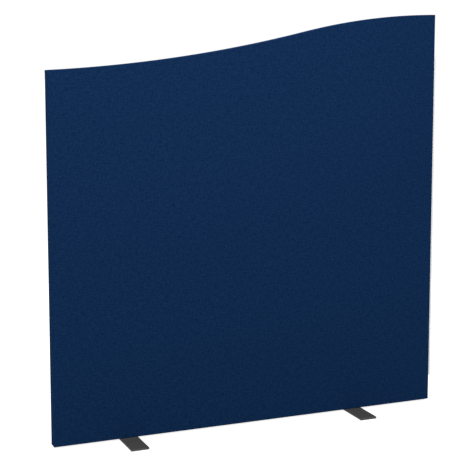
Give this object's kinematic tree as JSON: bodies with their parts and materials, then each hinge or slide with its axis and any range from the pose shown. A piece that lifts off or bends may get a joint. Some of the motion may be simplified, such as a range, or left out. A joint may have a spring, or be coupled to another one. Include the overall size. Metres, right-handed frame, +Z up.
{
  "type": "freestanding screen",
  "caption": "Freestanding office screen: a wave-topped cloth-covered panel on flat steel feet, with a push-in strip for linking it to the next screen.",
  "frame": {"origin": "on the floor, under the middle of the whole screen, its linking strip included", "axes": "+Z up; the front faces -Y; +X along the panel from the low end of the wave to the high end"},
  "size_m": [1.618, 0.3, 1.6],
  "materials": {
    "timber": "planed softwood, unfinished",
    "core": "kraft honeycomb core",
    "board": "smooth-faced hardboard",
    "foam": "thin grey open-cell foam",
    "cover_cloth": "close woven wool-look upholstery cloth, matte",
    "welt": "extruded flexible welt, matte",
    "strip_plastic": "extruded white plastic, satin",
    "foot_steel": "dark grey powder coat, fine texture",
    "screw_steel": "zinc-plated steel",
    "insert_brass": "turned brass",
    "dowel_wood": "fluted beech",
    "staple_wire": "galvanised wire"
  },
  "bodies": {
    "panel": {"bottom_rail": "timber", "top_rail": "timber", "left_stile": "timber", "right_stile": "timber", "centre_stile": "timber", "left_cross_rail": "timber", "right_cross_rail": "timber", "lower_left_core": "core", "lower_right_core": "core", "upper_left_core": "core", "upper_right_core": "core", "front_board": "board", "back_board": "board", "front_foam": "foam", "back_foam": "foam", "front_cover": "cover_cloth", "back_cover": "cover_cloth", "top_welt": "welt", "left_foot": "foot_steel", "right_foot": "foot_steel", "foot_screws": "screw_steel", "threaded_inserts": "insert_brass", "dowels": "dowel_wood", "hem_staples": "staple_wire"},
    "linking_strip": {"link_strip": "strip_plastic"}
  },
  "joints": [
    {"name": "strip_pull", "type": "slide", "parent": "panel", "child": "linking_strip", "axis": [1, 0, 0], "range_m": [0, 0.03]}
  ]
}
